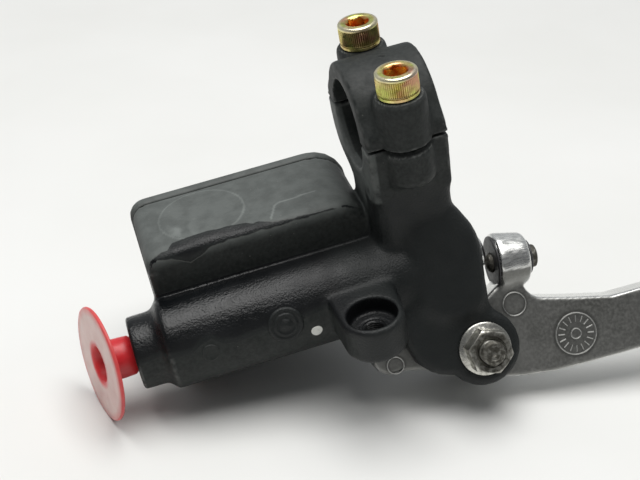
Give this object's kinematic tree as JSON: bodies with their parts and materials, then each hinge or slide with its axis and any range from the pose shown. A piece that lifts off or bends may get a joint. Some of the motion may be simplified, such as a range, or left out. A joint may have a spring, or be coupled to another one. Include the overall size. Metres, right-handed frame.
{
  "type": "brake master cylinder",
  "caption": "Handlebar brake master cylinder with a box-shaped reservoir, a two-piece bar clamp, a pivoting hand lever and a plugged hose port.",
  "frame": {"origin": "centre of the handlebar bore, halfway along the clamp", "axes": "+X along the handlebar towards the lever tip, +Y towards the reservoir lid, +Z along the clamp screws towards the rider"},
  "size_m": [0.2621, 0.0612, 0.0901],
  "materials": {
    "black_casting": "matte black, fine cast grain, glossy where wet",
    "yellow_zinc": "yellow-passivated zinc, slightly iridescent",
    "cast_aluminium": "satin with machined edges",
    "plated_steel": "dull zinc plate, worn",
    "spring_steel": "oiled",
    "bronze": "sintered, satin",
    "black_rubber": "matte",
    "dark_plastic": "matte",
    "red_plastic": "soft, slightly translucent",
    "white_plastic": "matte"
  },
  "bodies": {
    "housing": {"body_casting": "black_casting", "clamp_cap": "black_casting", "clamp_screw_1": "yellow_zinc", "clamp_screw_2": "yellow_zinc", "reservoir_lid": "black_casting", "lid_screw_1": "plated_steel", "lid_screw_2": "plated_steel", "reservoir_diaphragm": "black_rubber", "diaphragm_plate": "white_plastic", "return_spring": "spring_steel", "piston_washer": "plated_steel", "circlip": "spring_steel", "dust_seal": "black_rubber", "pivot_bolt": "plated_steel", "pivot_nut": "plated_steel"},
    "piston": {"piston": "cast_aluminium", "primary_cup": "black_rubber", "secondary_cup": "black_rubber", "spring_seat": "plated_steel"},
    "lever": {"lever": "cast_aluminium", "pivot_bush": "bronze", "barrel_bush": "dark_plastic", "adjuster_screw": "plated_steel", "adjuster_washer": "dark_plastic"},
    "transport_plug": {"transport_plug": "red_plastic"}
  },
  "joints": [
    {"name": "lever_pivot", "type": "hinge", "parent": "housing", "child": "lever", "pos_m": [0.00796, -0.02207, -0.05784], "axis": [0, -0.887, 0.4618], "range_deg": [0, 12.5], "stiffness_Nm_per_rad": 0.6, "springref_deg": -20.05},
    {"name": "piston_slide", "type": "slide", "parent": "housing", "child": "piston", "axis": [-1, 0, 0], "range_m": [0, 0.0042], "deforming": ["return_spring"]},
    {"name": "plug_pull", "type": "slide", "parent": "housing", "child": "transport_plug", "axis": [-1, 0, 0], "range_m": [0, 0.012]}
  ],
  "couplings": [
    {"joint": "piston_slide", "follows": "lever_pivot", "m_per_rad": 0.01895}
  ]
}
